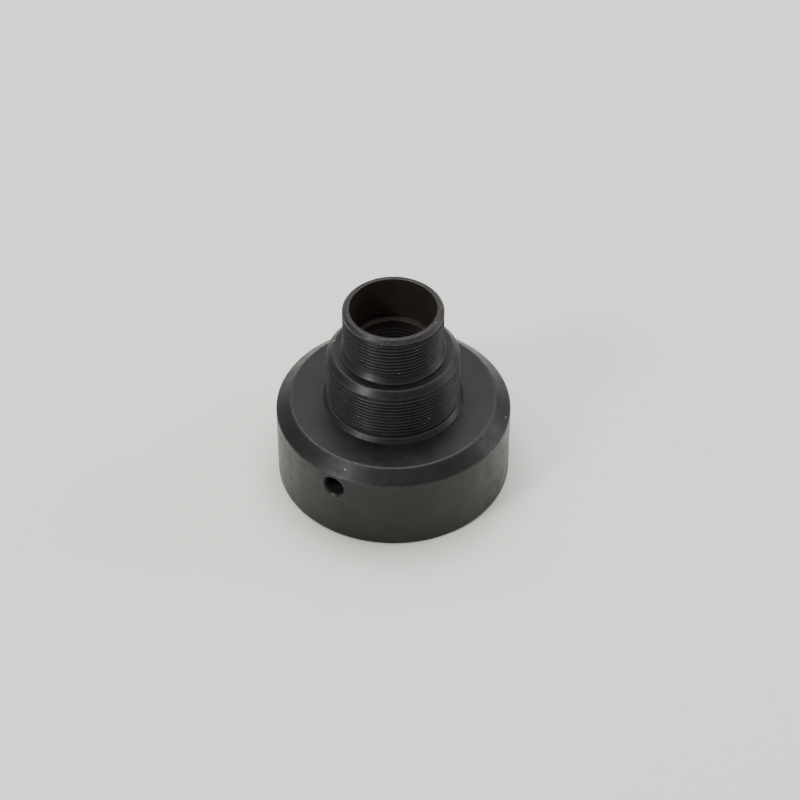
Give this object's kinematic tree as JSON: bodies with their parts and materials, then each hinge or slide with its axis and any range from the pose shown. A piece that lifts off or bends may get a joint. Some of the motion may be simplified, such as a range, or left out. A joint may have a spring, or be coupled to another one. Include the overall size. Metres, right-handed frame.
{
  "type": "thread-mounted laser collimator",
  "caption": "Stepped black laser collimator: wide drum with a recessed rear cover, a main thread, a slimmer nose thread and an open bore over a tiltable laser cell.",
  "frame": {"origin": "centre of the rear rim, which is the face that the collimator stands on", "axes": "+Z along the beam, out of the nose; +X through one of the three alignment screws"},
  "size_m": [0.045, 0.0448, 0.0398],
  "materials": {
    "black_anodised": "satin black anodised turned aluminium, worn bright on sharp edges",
    "black_nylon": "moulded black nylon",
    "spring_nickel": "nickel-plated spring steel",
    "cell_steel": "nickel-plated pressed steel",
    "seal_rubber": "black nitrile rubber",
    "bare_aluminium": "clear anodised turned aluminium",
    "module_brass": "turned brass",
    "diode_gold": "gold-plated can",
    "lens_glass": "clear coated lens glass",
    "board_green": "green solder mask on glass epoxy",
    "component_black": "black moulded epoxy",
    "spring_gold": "gold-plated spring wire",
    "black_oxide_steel": "black oxide steel",
    "white_nylon": "natural nylon",
    "button_red": "moulded red push button"
  },
  "bodies": {
    "housing": {"drum_housing": "black_anodised", "thread_barrel": "black_anodised", "nose_tube": "black_anodised", "battery_cup": "black_nylon", "battery_contact": "spring_nickel", "coin_cell": "cell_steel"},
    "pivot_seal": {"pivot_o_ring": "seal_rubber"},
    "laser_cell": {"laser_holder": "bare_aluminium", "laser_tube": "module_brass", "laser_diode": "diode_gold", "diode_pins": "spring_nickel", "collimating_lens": "lens_glass", "lens_spring": "spring_nickel", "lens_nut": "module_brass", "aperture_stop": "black_anodised", "driver_board": "board_green", "board_components": "component_black", "driver_contact_spring": "spring_gold"},
    "screw_pad_1": {"screw_pad_1": "white_nylon"},
    "set_screw_1": {"set_screw_1": "black_oxide_steel"},
    "screw_pad_2": {"screw_pad_2": "white_nylon"},
    "set_screw_2": {"set_screw_2": "black_oxide_steel"},
    "screw_pad_3": {"screw_pad_3": "white_nylon"},
    "set_screw_3": {"set_screw_3": "black_oxide_steel"},
    "cover_seal": {"cover_o_ring": "seal_rubber"},
    "rear_cover": {"rear_cover": "black_anodised", "switch_board": "board_green", "tact_switch": "component_black", "cover_contact_spring": "spring_gold", "button_spring": "spring_nickel"},
    "power_button": {"power_button": "button_red"}
  },
  "joints": [
    {"name": "cell_tilt_x", "type": "hinge", "parent": "housing", "child": "pivot_seal", "pos_m": [0, 0, 0.02], "axis": [1, 0, 0], "range_deg": [-0.5, 0.5], "stiffness_Nm_per_rad": 0.5},
    {"name": "cell_tilt_y", "type": "hinge", "parent": "pivot_seal", "child": "laser_cell", "pos_m": [0, 0, 0.02], "axis": [0, 1, 0], "range_deg": [-0.5, 0.5], "stiffness_Nm_per_rad": 0.5},
    {"name": "screw_1_travel", "type": "slide", "parent": "housing", "child": "screw_pad_1", "axis": [-0.5, -0.866, 0], "range_m": [-0.0001, 0.00198]},
    {"name": "screw_1_turn", "type": "hinge", "parent": "screw_pad_1", "child": "set_screw_1", "pos_m": [-0.009, -0.01559, 0.0124], "axis": [-0.5, -0.866, 0], "range_deg": [-46, 900]},
    {"name": "screw_2_travel", "type": "slide", "parent": "housing", "child": "screw_pad_2", "axis": [1, 0, 0], "range_m": [-0.0001, 0.00198]},
    {"name": "screw_2_turn", "type": "hinge", "parent": "screw_pad_2", "child": "set_screw_2", "pos_m": [0.018, 0, 0.0124], "axis": [1, 0, 0], "range_deg": [-46, 900]},
    {"name": "screw_3_travel", "type": "slide", "parent": "housing", "child": "screw_pad_3", "axis": [-0.5, 0.866, 0], "range_m": [-0.0001, 0.00198]},
    {"name": "screw_3_turn", "type": "hinge", "parent": "screw_pad_3", "child": "set_screw_3", "pos_m": [-0.009, 0.01559, 0.0124], "axis": [-0.5, 0.866, 0], "range_deg": [-46, 900]},
    {"name": "cover_travel", "type": "slide", "parent": "housing", "child": "cover_seal", "axis": [0, 0, -1], "range_m": [0, 0.0036]},
    {"name": "cover_turn", "type": "hinge", "parent": "cover_seal", "child": "rear_cover", "pos_m": [0, 0, 0.003], "axis": [0, 0, -1], "range_deg": [0, 1620]},
    {"name": "button_press", "type": "slide", "parent": "rear_cover", "child": "power_button", "axis": [0, 0, 1], "range_m": [0, 0.0006], "stiffness_N_per_m": 800, "springref_m": -0.0005, "deforming": ["button_spring"]}
  ],
  "couplings": [
    {"joint": "screw_1_turn", "follows": "screw_1_travel", "rad_per_m": 7915.8},
    {"joint": "screw_2_turn", "follows": "screw_2_travel", "rad_per_m": 7915.8},
    {"joint": "screw_3_turn", "follows": "screw_3_travel", "rad_per_m": 7915.8},
    {"joint": "cover_travel", "follows": "cover_turn", "m_per_rad": 0.00012633}
  ]
}
